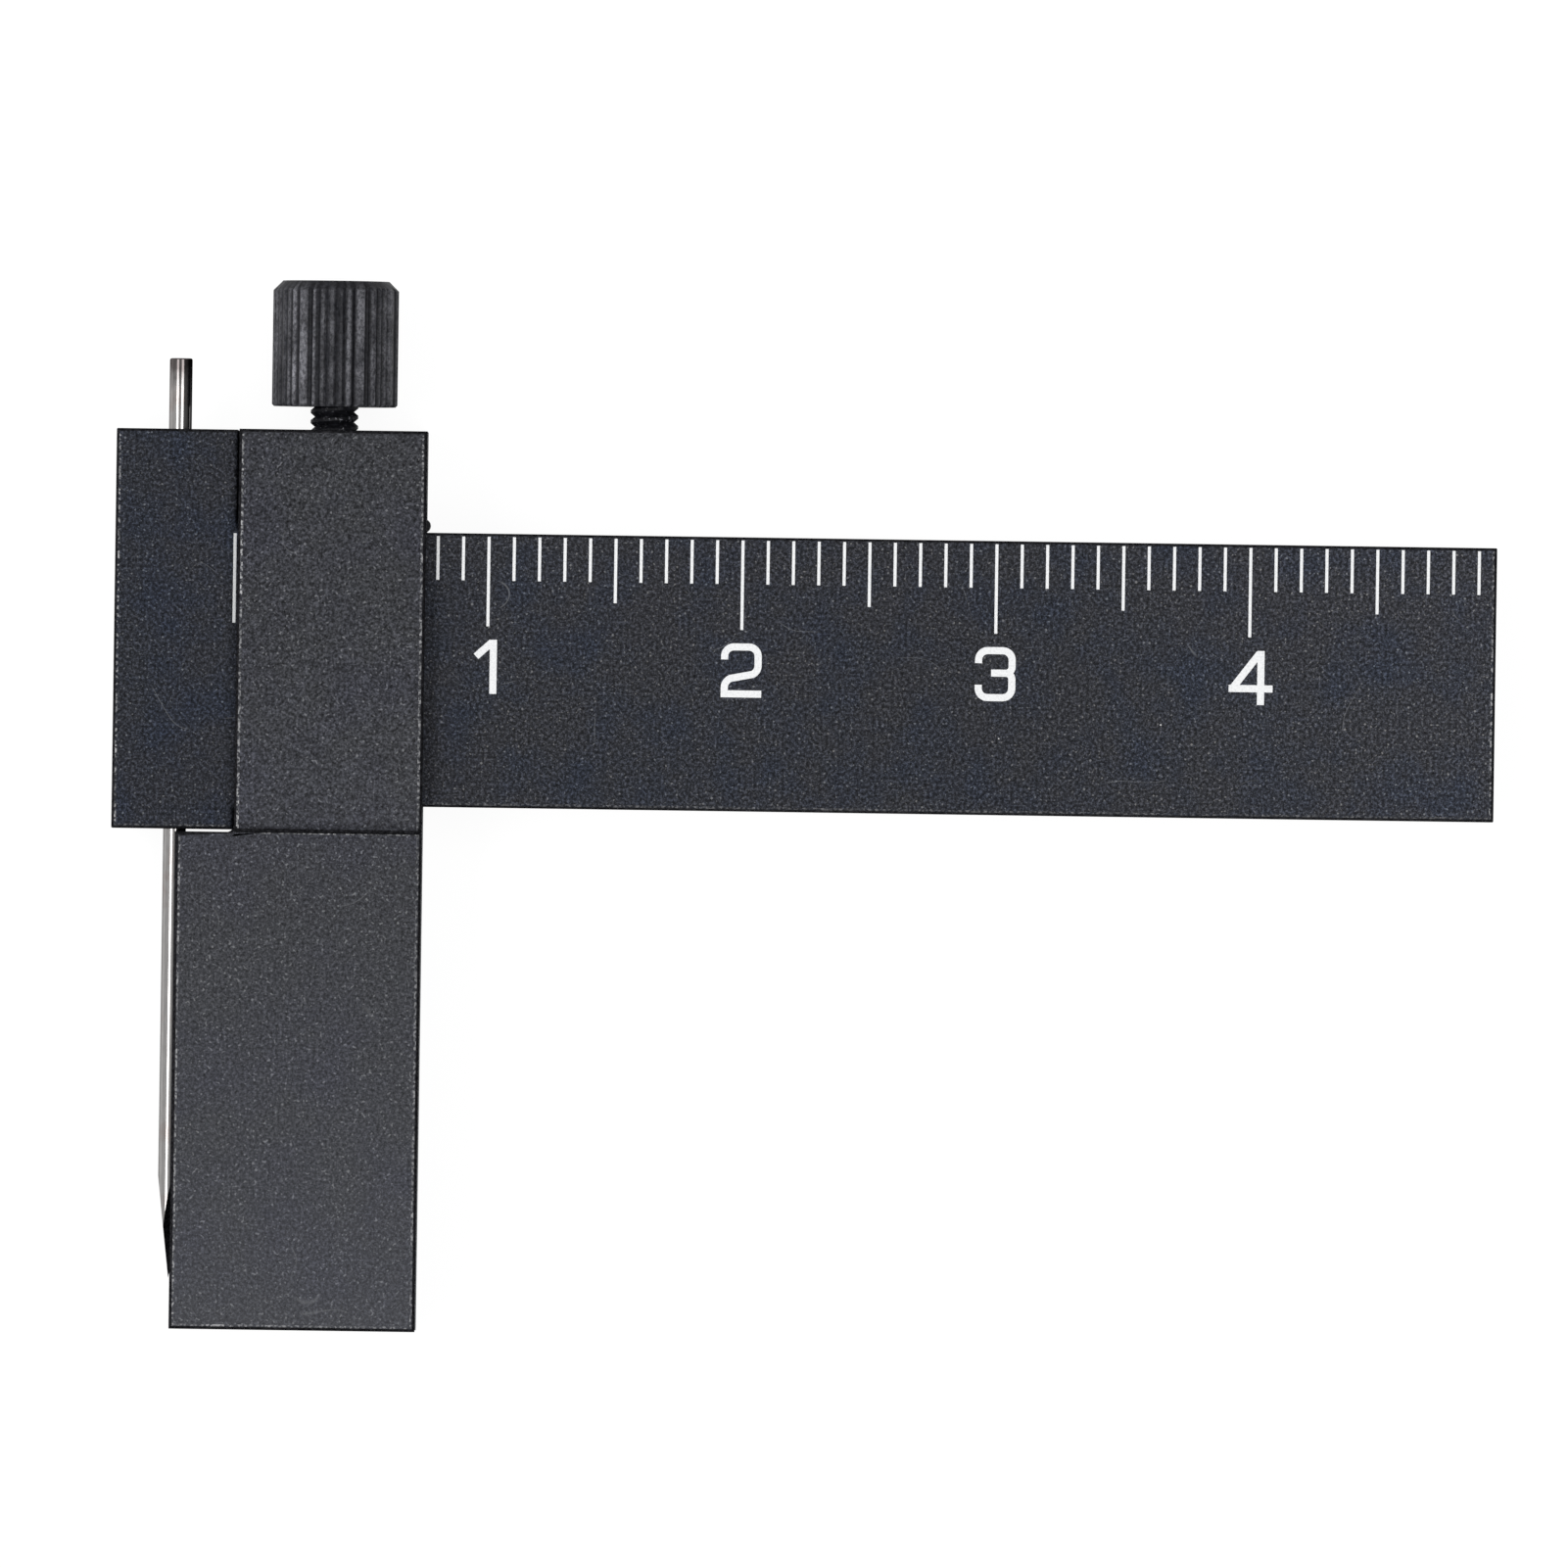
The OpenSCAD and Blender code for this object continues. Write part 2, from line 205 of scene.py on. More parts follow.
def rodCutter(radius, start, end, steps=64):
    axis = end - start
    bm = bmesh.new()
    bmesh.ops.create_cone(bm, cap_ends=True, segments=steps, radius1=radius * mm, radius2=radius * mm,
                          depth=axis.length)
    turn = axis.to_track_quat("Z", "Y").to_matrix().to_4x4()
    bmesh.ops.transform(bm, matrix=Matrix.Translation((start + end) / 2) @ turn, verts=bm.verts)
    return newCutter(bm)


def boxCutter(low, high):
    bm = bmesh.new()
    bmesh.ops.create_cube(bm, size=1)
    bmesh.ops.transform(bm, matrix=Matrix.Translation((low + high) / 2) @ Matrix.Diagonal((*(high - low), 1)),
                        verts=bm.verts)
    return newCutter(bm)


def newMaterial(name):
    material = bpy.data.materials.new(name)
    material.use_nodes = True
    tree = material.node_tree
    return material, tree, tree.nodes["Principled BSDF"]


def feed(tree, socket, value):
    if hasattr(value, "is_output"):
        tree.links.new(value, socket)
    elif isinstance(value, tuple):
        socket.default_value = (*value, 1)
    else:
        socket.default_value = value


def grain(tree, coords, scale, detail, roughness=0.55, seed=0.0):
    node = tree.nodes.new("ShaderNodeTexNoise")
    node.noise_dimensions = "4D"
    node.inputs["Scale"].default_value = scale
    node.inputs["Detail"].default_value = detail
    node.inputs["Roughness"].default_value = roughness
    node.inputs["W"].default_value = seed
    tree.links.new(coords, node.inputs["Vector"])
    return node.outputs["Fac"]


def ramp(tree, source, stops):
    node = tree.nodes.new("ShaderNodeValToRGB")
    elements = node.color_ramp.elements
    while len(elements) < len(stops):
        elements.new(0.5)
    for element, (place, colour) in zip(elements, stops):
        element.position = place
        element.color = (*colour, 1)
    tree.links.new(source, node.inputs["Fac"])
    return node.outputs["Color"]


def mixColours(tree, kind, factor, a, b):
    node = tree.nodes.new("ShaderNodeMix")
    node.data_type, node.blend_type = "RGBA", kind
    node.clamp_factor = True
    feed(tree, node.inputs["Factor"], factor)
    feed(tree, node.inputs["A"], a)
    feed(tree, node.inputs["B"], b)
    return node.outputs["Result"]


def mapRange(tree, source, fromLow, fromHigh, toLow, toHigh):
    node = tree.nodes.new("ShaderNodeMapRange")
    for name, value in (("From Min", fromLow), ("From Max", fromHigh), ("To Min", toLow), ("To Max", toHigh)):
        node.inputs[name].default_value = value
    tree.links.new(source, node.inputs["Value"])
    return node.outputs["Result"]


def combine(tree, operation, a, b):
    node = tree.nodes.new("ShaderNodeMath")
    node.operation = operation
    feed(tree, node.inputs[0], a)
    feed(tree, node.inputs[1], b)
    return node.outputs["Value"]


def objectCoords(tree):
    return tree.nodes.new("ShaderNodeTexCoord").outputs["Object"]


def stretched(tree, coords, scale):
    node = tree.nodes.new("ShaderNodeMapping")
    node.inputs["Scale"].default_value = scale
    tree.links.new(coords, node.inputs["Vector"])
    return node.outputs["Vector"]


def bump(tree, height, strength, distance, shader):
    node = tree.nodes.new("ShaderNodeBump")
    node.inputs["Strength"].default_value = strength
    node.inputs["Distance"].default_value = distance
    tree.links.new(height, node.inputs["Height"])
    tree.links.new(node.outputs["Normal"], shader.inputs["Normal"])


def patches(tree, coords, size, seed, span, levels=(0.0, 1.0), detail=2.0, roughness=0.5):
    return mapRange(tree, grain(tree, coords, size, detail, roughness, seed), *span, *levels)


def splitAxes(tree, coords):
    node = tree.nodes.new("ShaderNodeSeparateXYZ")
    tree.links.new(coords, node.inputs[0])
    return node.outputs


def grey(value):
    return (value, value, value)


def shadesOf(colour, low, high):
    return [tuple(c * k for c in colour) for k in (low, 1.0, high)]


def asShares(stops):    # places from the first stop to the last as shares of the way
    first, last = stops[0][0], stops[-1][0]
    return [((place - first) / (last - first), shade) for place, shade in stops]


# Blasted and anodised aluminium: pits and specks of the blasting with painted glints for its sparkle,
# clouds of the dye, a painted light gradient from end to end, hairline scratches and dust, and bare
# metal where it is rubbed.
# A size counts the grains in a metre. The first pair after it is the noise where the pattern starts
# and where it is full, and the second is what the pattern gives there
anodiseLook = {
    "speckSize": 8200, "speckDetail": (2.0, 0.85), "specks": (0.30, 0.50, 0.70),      # dark, plain, bright
    "glintSize": 8800, "glints": (0.68, 0.78), "glintShare": (0.0, 0.8), "glintColour": (0.21, 0.215, 0.225),
    "clouds": (0.45, 0.66),
    "calmFrom": 0.25,      # share of the way where the grain starts to calm
    "scratchSize": 260, "scratchWidth": 0.0022, "scratchPlaces": 380, "scratched": (0.60, 0.64),
    "dustCells": 260, "dustFrom": 0.82, "dustRise": 0.02, "dustSize": 0.010, "dustTone": (0.75, 0.75, 0.74),
    "chipSize": 7000, "chips": (0.47, 0.60), "bare": (0.42, 0.42, 0.43),
    "stretchSize": 620, "stretches": (0.36, 0.62), "stretchWear": (0.35, 1.0),
    "reliefHeight": 8e-6, "relief": 0.7,
    "specular": 0.1,
    "glossSize": 2600, "glossSpan": (0.3, 0.7), "roughness": (0.55, 0.75),
    "stripsFrom": 5.2, "stripsTo": 5.6,      # mm above the table where the front's painted shade strips fade in
}


def placeAlong(axis, place):
    return at(place, 0, 0).x if axis == "X" else at(0, place, 0).y


# painted light gradient along the piece, while the grain calms towards its far end
def withPaintedLightDrift(tree, axes, tone, finish):
    axis, stops = finish["paintedLightAxis"], finish["paintedLightTints"]
    start, end = (placeAlong(axis, stops[i][0]) for i in (0, -1))
    along = mapRange(tree, axes[axis], start, end, 0.0, 1.0)
    calmer = mapRange(tree, along, anodiseLook["calmFrom"], 1.0, 0.0, finish["calm"])
    tone = mixColours(tree, "MIX", calmer, tone, finish["colour"])
    # a ramp holds at most 1, so it holds half of each tint
    halves = [(share, tuple(c / 2 for c in shade)) for share, shade in asShares(stops)]
    tone = mixColours(tree, "MULTIPLY", 1.0, tone, ramp(tree, along, halves))
    return mixColours(tree, "ADD", 1.0, tone, tone)


# painted shade: darker strips across the front, by place along Y
def withPaintedShade(tree, axes, tone, strips):
    start, end = (placeAlong("Y", strips[i][0]) for i in (0, -1))
    along = mapRange(tree, axes["Y"], start, end, 0.0, 1.0)
    front = mapRange(tree, axes["Z"], anodiseLook["stripsFrom"] * mm, anodiseLook["stripsTo"] * mm, 0.0, 1.0)
    return mixColours(tree, "MULTIPLY", front, tone, ramp(tree, along, asShares(strips)))


def marked(tree, coords, tone, seed, scratched):
    look = anodiseLook
    wave = combine(tree, "SUBTRACT", grain(tree, coords, look["scratchSize"], 0.6, 0.4, seed + 5), 0.5)
    line = mapRange(tree, combine(tree, "ABSOLUTE", wave, 0.0), look["scratchWidth"], 0.0, 0.0, scratched)
    somewhere = patches(tree, coords, look["scratchPlaces"], seed + 6, look["scratched"], detail=1.0)
    tone = mixColours(tree, "MIX", combine(tree, "MULTIPLY", line, somewhere), tone, look["glintColour"])
    cells = tree.nodes.new("ShaderNodeTexVoronoi")
    cells.voronoi_dimensions = "2D"
    cells.inputs["Scale"].default_value = look["dustCells"]
    tree.links.new(coords, cells.inputs["Vector"])
    size, first = look["dustSize"], look["dustFrom"]
    speck = mapRange(tree, cells.outputs["Distance"], size, size * 0.5, 0.0, 1.0)
    chosen = mapRange(tree, cells.outputs["Color"], first, first + look["dustRise"], 0.0, 1.0)
    return mixColours(tree, "MIX", combine(tree, "MULTIPLY", speck, chosen), tone, look["dustTone"])


def wornBare(tree, coords, tone, seed, rubbedAndLit):
    look = anodiseLook
    chips = patches(tree, coords, look["chipSize"], seed + 11, look["chips"], detail=1.5, roughness=0.6)
    stretches = patches(tree, coords, look["stretchSize"], seed + 13, look["stretches"], look["stretchWear"])
    share = combine(tree, "MULTIPLY", combine(tree, "MULTIPLY", chips, stretches), rubbedAndLit)
    return mixColours(tree, "MIX", share, tone, look["bare"])


def anodised(name, finish, seed, rubbedAndLit=0.0, scratched=0.0):
    look = anodiseLook
    material, tree, shader = newMaterial(name)
    coords = objectCoords(tree)
    axes = splitAxes(tree, coords)
    contrast = finish["edgeContrast" if rubbedAndLit else "contrast"]
    fine = grain(tree, coords, look["speckSize"], *look["speckDetail"], seed)
    tone = ramp(tree, fine, list(zip(look["specks"], shadesOf(finish["colour"], *contrast))))
    # painted glints: bright specks in the colour stand in for the sparkle of the blasted grain
    glints = patches(tree, coords, look["glintSize"], seed + 2, look["glints"], look["glintShare"], 0.0)
    tone = mixColours(tree, "MIX", glints, tone, look["glintColour"])
    clouds = patches(tree, coords, finish["cloudSize"], seed + 3, look["clouds"], detail=3.0, roughness=0.6)
    tone = mixColours(tree, "MULTIPLY", clouds, tone, finish["cloudTint"])
    tone = withPaintedLightDrift(tree, axes, tone, finish)
    if "strips" in finish and not rubbedAndLit:
        tone = withPaintedShade(tree, axes, tone, finish["strips"])
    if scratched:
        tone = marked(tree, coords, tone, seed, scratched)
    if rubbedAndLit:
        tone = wornBare(tree, coords, tone, seed, rubbedAndLit)
    tree.links.new(tone, shader.inputs["Base Color"])
    rough = patches(tree, coords, look["glossSize"], seed + 7, look["glossSpan"], look["roughness"])
    tree.links.new(rough, shader.inputs["Roughness"])
    shader.inputs["Specular IOR Level"].default_value = look["specular"]
    bump(tree, fine, look["relief"], look["reliefHeight"], shader)
    return material


# Painted shade for the lower part of a rounded edge: a darker copy of the dye that does not shine
paintedShadeEdgeLook = {
    "colour": (0.015, 0.015, 0.017), "specks": (0.35, 0.5, 0.7), "contrast": (0.5, 2.2),
    "roughSpan": (0.3, 0.7), "roughness": (0.7, 0.85), "relief": 0.4, "seed": 3.3,
}


def paintedShadeEdgeMaterial():
    look = paintedShadeEdgeLook
    material, tree, shader = newMaterial("paintedShadeEdge")
    fine = grain(tree, objectCoords(tree), anodiseLook["speckSize"], 2.0, 0.5, look["seed"])
    tone = ramp(tree, fine, list(zip(look["specks"], shadesOf(look["colour"], *look["contrast"]))))
    tree.links.new(tone, shader.inputs["Base Color"])
    tree.links.new(mapRange(tree, fine, *look["roughSpan"], *look["roughness"]), shader.inputs["Roughness"])
    shader.inputs["Specular IOR Level"].default_value = 0.0
    bump(tree, fine, look["relief"], anodiseLook["reliefHeight"], shader)
    return material


paintedShadeEdge = paintedShadeEdgeMaterial()
print("edge finish made")

plateFinish = {
    "colour": (0.0234, 0.0253, 0.0314), "contrast": (0.03, 4.5), "edgeContrast": (0.5, 2.4),
    "cloudSize": 420, "cloudTint": (0.80, 0.91, 1.10),      # clouds in a metre
    "paintedLightAxis": "X", "calm": 0.0,
    # painted light: lighter and warmer from the head to the beam's right end; places in mm right of the zero
    # mark
    "paintedLightTints": [(-4.7, (0.75, 0.76, 0.79)), (0.0, (0.80, 0.79, 0.79)), (12.0, (0.90, 0.87, 0.84)),
              (30.0, (0.89, 0.86, 0.83)), (49.7, (1.14, 1.10, 1.06))],
}
blueBlack = anodised("blueBlackAnodise", plateFinish, 1.7, scratched=0.5)
# copies for rounded edges: bare metal with a painted highlight, strong and faint
blueBlackRubbedAndLit = anodised("blueBlackRubbedAndLit", plateFinish, 2.3, rubbedAndLit=0.95)
blueBlackFaintWearAndLight = anodised("blueBlackFaintWearAndLight", plateFinish, 2.9, rubbedAndLit=0.3)

plateShape = {
    "back": 1.0, "front": 5.0,
    "beamHeight": 10.8, "headDrop": 1.0,
    "headEdge": 0.08,      # the head ends a little past the middle of the zero mark
    "cornerRadius": 0.4, "cornerSteps": 6,
    "edgeRadius": 0.18, "edgeSteps": 6,
    "needleX": -2.25, "needleBore": 0.48,
    "setScrewY": -3.9, "setScrewBore": 1.0,
}


def makePlate():
    p = plateShape
    beamEnd = (plateHigh.x - zeroX) / mm
    low = -p["beamHeight"] - p["headDrop"]
    edge = p["headEdge"]
    outline = [(-headWidth, low), (edge, low), (edge, -p["beamHeight"]), (beamEnd, -p["beamHeight"]),
               (beamEnd, 0), (edge, 0), (edge, headRise), (-headWidth, headRise)]
    bm = bmesh.new()
    face = bm.faces.new([bm.verts.new(at(x, y, p["back"])) for x, y in outline])
    raised(bm, [face], p["front"] - p["back"])
    bmesh.ops.recalc_face_normals(bm, faces=bm.faces)

    def inCorner(e):
        a = e.verts[0].co
        lowest, highest = at(0, -p["beamHeight"], 0).y - near, topEdgeY + near
        return isUpright(e) and abs(a.x - at(edge, 0, 0).x) < near and lowest < a.y < highest

    roundEdges(bm, [e for e in bm.edges if inCorner(e)], p["cornerRadius"], p["cornerSteps"])
    rims = roundRims(bm, p["edgeRadius"], p["edgeSteps"])

    # edges facing +Y keep the plain finish, those facing -Y get the faint painted highlight, the rest the
    # strong one
    def slotOf(n, centre):
        if n.y > edgeWearAndPaintedLight["facing"]:
            return edgeWearAndPaintedLight["plain"]
        return edgeWearAndPaintedLight["faintWearAndLight"] if n.y < -edgeWearAndPaintedLight["facing"] else edgeWearAndPaintedLight["rubbedAndLit"]

    paintEdgeWearAndLight(bm, rims, slotOf, lambda n, c: n.x > edgeWearAndPaintedLight["facing"] and c.x < zeroX + mm)
    easeCorners(bm)
    plate = newPiece("rulerPlate", bm, [blueBlack, blueBlackRubbedAndLit, paintedShadeEdge, blueBlackFaintWearAndLight], "ruler",
                     ["ruler_plate"])
    middle = (p["back"] + p["front"]) / 2
    cutWith(plate, [
        rodCutter(p["needleBore"], at(p["needleX"], low - cutPast, middle),
                  at(p["needleX"], headRise + cutPast, middle)),
        rodCutter(p["setScrewBore"], at(-headWidth - cutPast, p["setScrewY"], middle),
                  at(p["needleX"], p["setScrewY"], middle)),
    ])
    evenShading(plate)


makePlate()
print("plate made")

# The scale: the laser's white oxide stands a little over the face, on lines slimmer than the solids
markLook = {
    "lift": 0.004, "slim": 0.84,      # mm, share of the width
    "grainSize": 14000, "shades": [(0.25, (0.60, 0.61, 0.62)), (0.5, (0.85, 0.86, 0.87)), (0.7, grey(0.93))],
    "roughSize": 6000, "roughSpan": (0.3, 0.7), "roughness": (0.6, 0.8),
    "reliefSize": 22000, "relief": 0.5, "reliefHeight": 4e-6,
    "specular": 0.2,
}


def laserWhite():
    look = markLook
    material, tree, shader = newMaterial("laserWhite")
    coords = objectCoords(tree)
    tone = ramp(tree, grain(tree, coords, look["grainSize"], 3.0, 0.6, 4.4), look["shades"])
    tree.links.new(tone, shader.inputs["Base Color"])
    rough = patches(tree, coords, look["roughSize"], 7.4, look["roughSpan"], look["roughness"])
    tree.links.new(rough, shader.inputs["Roughness"])
    shader.inputs["Specular IOR Level"].default_value = look["specular"]
    pits = grain(tree, coords, look["reliefSize"], 2.0, 0.5, 1.1)
    bump(tree, pits, look["relief"], look["reliefHeight"], shader)
    return material


markWhite = laserWhite()


def liftedCopy(name, node, slim=1.0):
    bm = bmesh.new()
    bm.from_mesh(nodes[node].data)
    bmesh.ops.remove_doubles(bm, verts=bm.verts, dist=same)
    bmesh.ops.dissolve_limit(bm, angle_limit=math.radians(flatUnder), verts=bm.verts, edges=bm.edges)
    bmesh.ops.translate(bm, vec=(0, 0, markLook["lift"] * mm), verts=bm.verts)
    if slim < 1:      # the marks stand at whole millimetres
        lines = {}
        for v in bm.verts:
            lines.setdefault(round((v.co.x - zeroX) / mm), []).append(v)
        for number, verts in lines.items():
            middle = Matrix.Translation((-zeroX - number * mm, 0, 0))
            bmesh.ops.scale(bm, vec=(slim, 1, 1), space=middle, verts=verts)
    newPiece(name, bm, [markWhite], "ruler", [node])


liftedCopy("millimetreMarks", "marks_millimetre", markLook["slim"])
liftedCopy("fiveMarks", "marks_five", markLook["slim"])
liftedCopy("centimetreMarks", "marks_centimetre", markLook["slim"])
liftedCopy("numerals", "scale_numerals")
print("scale made")

sliderFinish = {
    "colour": (0.0375, 0.0388, 0.0440), "contrast": (0.08, 3.0), "edgeContrast": (0.5, 2.2),
    "cloudSize": 260, "cloudTint": (0.95, 0.95, 1.05),
    "paintedLightAxis": "Y", "calm": 0.5,
    # painted light: lighter towards the fence's end; places in mm above the top edge of the beam
    "paintedLightTints": [(4.0, grey(0.88)), (-3.0, grey(0.88)), (-9.0, grey(1.0)), (-14.0, grey(1.03)),
              (-20.5, grey(1.15)), (-28.0, grey(1.36)), (-31.5, grey(1.46))],
    # painted shade: the front is darker along the sleeve's top and its lower edge
    "strips": [(4.0, grey(0.82)), (3.72, grey(0.86)), (3.55, grey(1.0)), (-11.35, grey(1.0)),
               (-11.62, grey(0.82)), (-11.86, grey(0.58)), (-11.93, grey(1.0))],
}
charcoal = anodised("charcoalAnodise", sliderFinish, 5.1, scratched=0.3)
# copies for rounded edges: bare metal with a painted highlight, strong and faint
charcoalRubbedAndLit = anodised("charcoalRubbedAndLit", sliderFinish, 6.9, rubbedAndLit=1.0)
charcoalFaintWearAndLight = anodised("charcoalFaintWearAndLight", sliderFinish, 7.7, rubbedAndLit=0.7)

sliderShape = {
    "left": 0.12, "right": 7.52,
    "top": 3.98, "shoulder": -11.9, "fenceEnd": -31.48,
    "guideX": -2.17,
    "fenceFace": 5.6, "sleeveFace": 6.0,
    "cornerRadius": 0.3, "cornerSteps": 6,
    "stepRadius": 0.36, "stepSteps": 8, "stepPaintedShadeUnder": 0.8, "stepHighlightLine": 0.05,
    "edgeRadius": 0.2, "edgeSteps": 6, "endCorner": 0.12,
    "window": (-10.84, 1.21, 0.96, 5.04),
    "screwX": 3.82, "screwBore": 1.0, "boreInto": 0.1,
    "needleX": -2.25, "grooveRadius": 0.57, "grooveInto": 0.2,
    "middle": 3.0, "flatOver": 0.99,
}


def makeSlider():
    s = sliderShape
    outline = [(s["guideX"], s["fenceEnd"]), (s["right"], s["fenceEnd"]), (s["right"], s["shoulder"]),
               (s["right"], s["top"]), (s["left"], s["top"]), (s["left"], s["shoulder"]),
               (s["guideX"], s["shoulder"])]
    bm = bmesh.new()
    face = bm.faces.new([bm.verts.new(at(x, y, 0)) for x, y in outline])
    raised(bm, [face], s["fenceFace"])
    bmesh.ops.recalc_face_normals(bm, faces=bm.faces)
    shoulderY = at(0, s["shoulder"], 0).y
    bmesh.ops.bisect_plane(bm, geom=bm.verts[:] + bm.edges[:] + bm.faces[:], dist=same,
                           plane_co=(0, shoulderY, 0), plane_no=(0, 1, 0))
    fenceZ = s["fenceFace"] * mm
    sleeveTop = [f for f in bm.faces if f.normal.z > s["flatOver"] and f.calc_center_median().y > shoulderY]
    raised(bm, sleeveTop, s["sleeveFace"] - s["fenceFace"])
    bmesh.ops.dissolve_limit(bm, angle_limit=math.radians(flatUnder), verts=bm.verts, edges=bm.edges)
    cornerX = at(s["left"], 0, 0).x

    def onShoulder(e):
        return all(abs(v.co.y - shoulderY) < same for v in e.verts)

    def isFillet(e):
        return onShoulder(e) and all(abs(v.co.x - cornerX) < same and v.co.z < fenceZ + near for v in e.verts)

    def isStep(e):
        return onShoulder(e) and all(v.co.z > s["sleeveFace"] * mm - near for v in e.verts)

    def onFence(f):
        return f.normal.z > s["flatOver"] and abs(f.calc_center_median().z - fenceZ) < near

    # the lower part of the step's rounding gets painted shade
    step = roundEdges(bm, [e for e in bm.edges if isStep(e)], s["stepRadius"], s["stepSteps"])
    bm.normal_update()
    for face in step:
        if face.normal.z < s["stepPaintedShadeUnder"]:
            face.material_index = edgeWearAndPaintedLight["dark"]
    roundEdges(bm, [e for e in bm.edges if isFillet(e)], s["cornerRadius"], s["cornerSteps"])
    rims = roundRims(bm, s["edgeRadius"], s["edgeSteps"])

    # edges facing +Y keep the plain finish, the rest get the painted highlight, strong on the sleeve and
    # faint on the fence
    def slotOf(n, centre):
        if n.y > edgeWearAndPaintedLight["facing"]:
            return edgeWearAndPaintedLight["plain"]
        return edgeWearAndPaintedLight["rubbedAndLit"] if centre.y > shoulderY else edgeWearAndPaintedLight["faintWearAndLight"]

    paintEdgeWearAndLight(bm, rims, slotOf)
    endY = at(0, s["fenceEnd"], 0).y
    easeCorners(bm, s["endCorner"], lambda e: e.verts[0].co.y < endY + mm)
    easeCorners(bm, test=lambda e: e.verts[0].co.y > endY + mm)
    # a painted highlight line, in the rubbed copy of the finish, on the fence along the foot of the step
    lineY = shoulderY - s["stepHighlightLine"] * mm
    bmesh.ops.bisect_plane(bm, geom=geomOf([f for f in bm.faces if onFence(f)]), dist=same,
                           plane_co=(0, lineY, 0), plane_no=(0, 1, 0))
    for face in bm.faces:
        if onFence(face) and face.calc_center_median().y > lineY:
            face.material_index = edgeWearAndPaintedLight["rubbedAndLit"]
    slider = newPiece("slider", bm, [charcoal, charcoalRubbedAndLit, paintedShadeEdge, charcoalFaintWearAndLight], "slider",
                      ["slider_body"])
    low, high, back, front = s["window"]
    cutWith(slider, [
        boxCutter(at(s["left"] - cutPast, low, back), at(s["right"] + cutPast, high, front)),
        rodCutter(s["screwBore"], at(s["screwX"], high - s["boreInto"], s["middle"]),
                  at(s["screwX"], s["top"] + cutPast, s["middle"])),
        rodCutter(s["grooveRadius"], at(s["needleX"], s["fenceEnd"] - cutPast, s["middle"]),
                  at(s["needleX"], s["shoulder"] + s["grooveInto"], s["middle"])),
    ])
    evenShading(slider)


makeSlider()
print("slider made")

needleShape = {
    "x": -2.25, "z": 3.0, "radius": 0.45,
    "top": 6.75, "length": 36.26, "tipLength": 4.05,
    "tailEase": 0.08, "tailSteps": 3, "steps": 96, "facets": (180, 60, -60),      # degrees around the axis
    "smoothUnder": 20,
}

# Ground steel: streaks along the needle, brown stains, a dull tail, and painted shade, in the colour and in
# the tint of its reflections, on the side away from the window
steelLook = {
    "shades": [(0.3, (0.28, 0.275, 0.27)), (0.55, (0.345, 0.335, 0.33)), (0.8, (0.40, 0.40, 0.395))],
    "streakSize": 16000, "streakStretch": (1.0, 0.12, 1.0), "relief": 0.3, "reliefHeight": 1.2e-6,
    "stainSize": 900, "stains": (0.52, 0.68), "stainShare": (0.0, 0.8), "stain": (0.88, 0.80, 0.78),
    "tailFrom": 6.1, "tailTo": 7.2, "blotchSize": 2200, "tailBlotch": 1.4,      # mm above the beam's edge
    "tailStain": (0.34, 0.31, 0.31),
    "glossSize": 3000, "glossSpan": (0.3, 0.7), "roughness": (0.05, 0.10),
    "edgeTint": grey(0.4),
    "paintedShadeSide": (0.24, 0.42), "paintedShadeTone": (0.16, 0.16, 0.17),      # mm right of the needle's axis, where the painted shade begins and is full
}


def groundSteel():
    look = steelLook
    material, tree, shader = newMaterial("groundSteel")
    coords = objectCoords(tree)
    axes = splitAxes(tree, coords)
    streaks = grain(tree, stretched(tree, coords, look["streakStretch"]), look["streakSize"], 3.0, 0.6, 0.3)
    tone = ramp(tree, streaks, look["shades"])
    stains = patches(tree, coords, look["stainSize"], 5.2, look["stains"], look["stainShare"], roughness=0.6)
    tone = mixColours(tree, "MULTIPLY", stains, tone, look["stain"])
    blotch = grain(tree, coords, look["blotchSize"], 2.0, 0.6, 6.1)
    blotch = combine(tree, "MULTIPLY", blotch, look["tailBlotch"] * mm)
    tailFrom, tailTo = (at(0, look[k], 0).y for k in ("tailFrom", "tailTo"))
    nearTail = mapRange(tree, combine(tree, "ADD", axes["Y"], blotch), tailFrom, tailTo, 0.0, 1.0)
    tone = mixColours(tree, "MULTIPLY", nearTail, tone, look["tailStain"])
    # painted shade: the needle's right side is darker, and so are its reflections
    axisX = at(needleShape["x"], 0, 0).x
    side = mapRange(tree, axes["X"], *(axisX + d * mm for d in look["paintedShadeSide"]), 0.0, 1.0)
    tone = mixColours(tree, "MULTIPLY", side, tone, look["paintedShadeTone"])
    tree.links.new(tone, shader.inputs["Base Color"])
    shader.inputs["Metallic"].default_value = 1.0
    tint = mixColours(tree, "MULTIPLY", side, look["edgeTint"], look["paintedShadeTone"])
    tree.links.new(tint, shader.inputs["Specular Tint"])
    rough = patches(tree, coords, look["glossSize"], 2.2, look["glossSpan"], look["roughness"])
    tree.links.new(rough, shader.inputs["Roughness"])
    bump(tree, streaks, look["relief"], look["reliefHeight"], shader)
    return material


steel = groundSteel()


